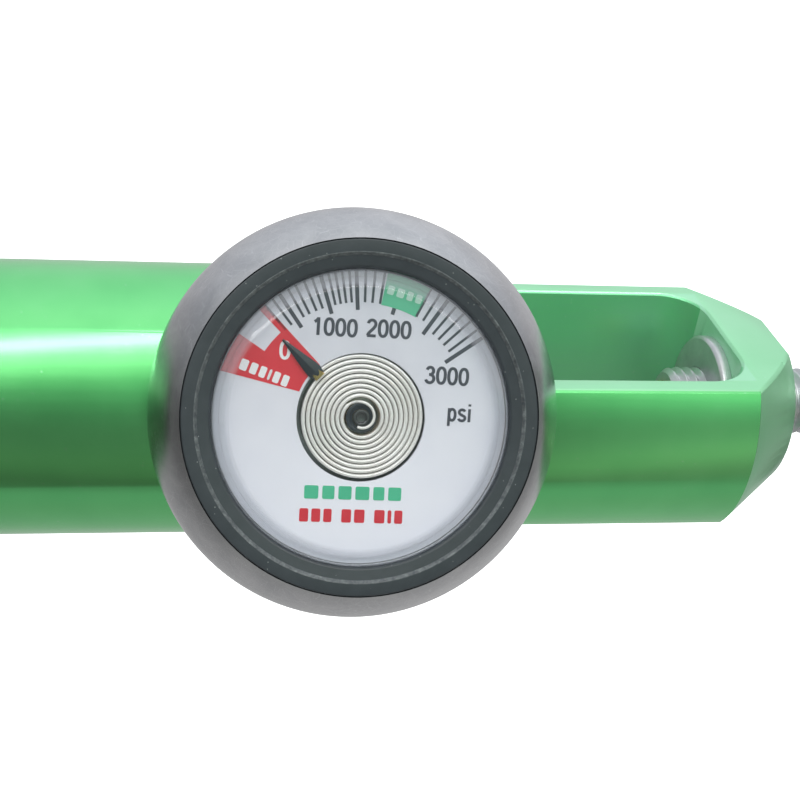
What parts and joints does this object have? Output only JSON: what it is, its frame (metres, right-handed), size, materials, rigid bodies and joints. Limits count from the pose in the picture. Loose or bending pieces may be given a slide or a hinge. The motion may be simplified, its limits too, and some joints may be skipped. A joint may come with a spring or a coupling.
{
  "type": "oxygen regulator",
  "caption": "Yoke-type oxygen pressure regulator with round barrel, large contents gauge, screw clamp for a valve post, click flow selector knob and hose barb.",
  "frame": {"origin": "on the barrel axis, at the sealing face of the inlet washer, where the inlet nipple stands out", "axes": "+X along the barrel from the flow selector knob to the clamp screw, +Z the direction in which a valve post passes through the yoke"},
  "size_m": [0.1692, 0.0805, 0.0635],
  "materials": {
    "green_anodised": "satin anodised",
    "brass": "machined",
    "sintered_bronze": "sintered",
    "plated_steel": "nickel plated",
    "polished_steel": "polished, finely spun",
    "shaft_steel": "ground",
    "spring_steel": "drawn wire",
    "coil_bronze": "drawn tube",
    "handle_metal": "satin chrome",
    "piston_aluminium": "machined",
    "cap_aluminium": "machined",
    "knob_plastic": "moulded",
    "bezel_black": "satin",
    "clear_lens": "clear moulded",
    "dial_face": "printed",
    "scale_face": "printed",
    "pointer_black": "black",
    "inner_plastic": "moulded",
    "seal_rubber": "moulded"
  },
  "bodies": {
    "root": {"regulator_body": "green_anodised", "inlet_nipple": "brass", "nozzle_seat": "brass", "outlet_barb": "brass", "relief_body": "brass", "relief_cap": "brass", "gauge_stem": "brass", "port_plate": "brass", "washer_ring": "brass", "inlet_filter": "sintered_bronze", "thread_bushing": "plated_steel", "index_pins": "plated_steel", "gauge_case": "polished_steel", "movement_plate": "shaft_steel", "piston_spring": "spring_steel", "detent_spring": "spring_steel", "relief_spring": "spring_steel", "bourdon_coil": "coil_bronze", "end_cap": "cap_aluminium", "gauge_bezel": "bezel_black", "gauge_lens": "clear_lens", "dial_plate": "dial_face", "coil_hub_cap": "pointer_black", "dial_support": "inner_plastic", "washer_gasket": "seal_rubber", "port_plate_oring": "seal_rubber", "end_cap_oring": "seal_rubber", "barb_oring": "seal_rubber", "gauge_oring": "seal_rubber"},
    "piston": {"piston": "piston_aluminium", "seat_pad": "inner_plastic", "stem_oring": "seal_rubber", "piston_oring": "seal_rubber"},
    "flow_selector": {"orifice_disc": "brass", "selector_shaft": "shaft_steel", "shaft_oring": "seal_rubber", "selector_knob": "knob_plastic", "knob_screw": "plated_steel", "flow_scale_disc": "scale_face"},
    "detent": {"detent_ball": "shaft_steel"},
    "relief": {"relief_poppet": "brass"},
    "needle": {"gauge_pointer": "pointer_black"},
    "clamp_point": {"clamp_tip": "brass"},
    "clamp_handle": {"clamp_screw": "plated_steel", "t_handle": "handle_metal", "handle_pin": "plated_steel"}
  },
  "joints": [
    {"name": "flow_select", "type": "hinge", "parent": "root", "child": "flow_selector", "pos_m": [-0.087, 0, 0], "axis": [1, 0, 0], "range_deg": [0, 330]},
    {"name": "detent_click", "type": "slide", "parent": "root", "child": "detent", "axis": [-1, 0, 0], "range_m": [0, 0.0004], "stiffness_N_per_m": 150, "deforming": ["detent_spring"]},
    {"name": "piston_stroke", "type": "slide", "parent": "root", "child": "piston", "axis": [1, 0, 0], "range_m": [0, 0.00095], "stiffness_N_per_m": 30000, "deforming": ["piston_spring"]},
    {"name": "relief_lift", "type": "slide", "parent": "root", "child": "relief", "axis": [0, 0.5, -0.866], "range_m": [0, 0.001], "stiffness_N_per_m": 2000, "deforming": ["relief_spring"]},
    {"name": "needle_turn", "type": "hinge", "parent": "root", "child": "needle", "pos_m": [-0.0204, 0, 0], "axis": [0, 0.866, -0.5], "range_deg": [0, 102], "stiffness_Nm_per_rad": 0.0002, "deforming": ["bourdon_coil"]},
    {"name": "clamp_travel", "type": "slide", "parent": "root", "child": "clamp_point", "axis": [1, 0, 0], "range_m": [-0.0099, 0.0069]},
    {"name": "clamp_turn", "type": "hinge", "parent": "clamp_point", "child": "clamp_handle", "pos_m": [0.065, 0, 0], "axis": [1, 0, 0], "range_deg": [-2400, 1680]}
  ],
  "couplings": [
    {"joint": "clamp_turn", "follows": "clamp_travel", "rad_per_m": 4188.8}
  ]
}
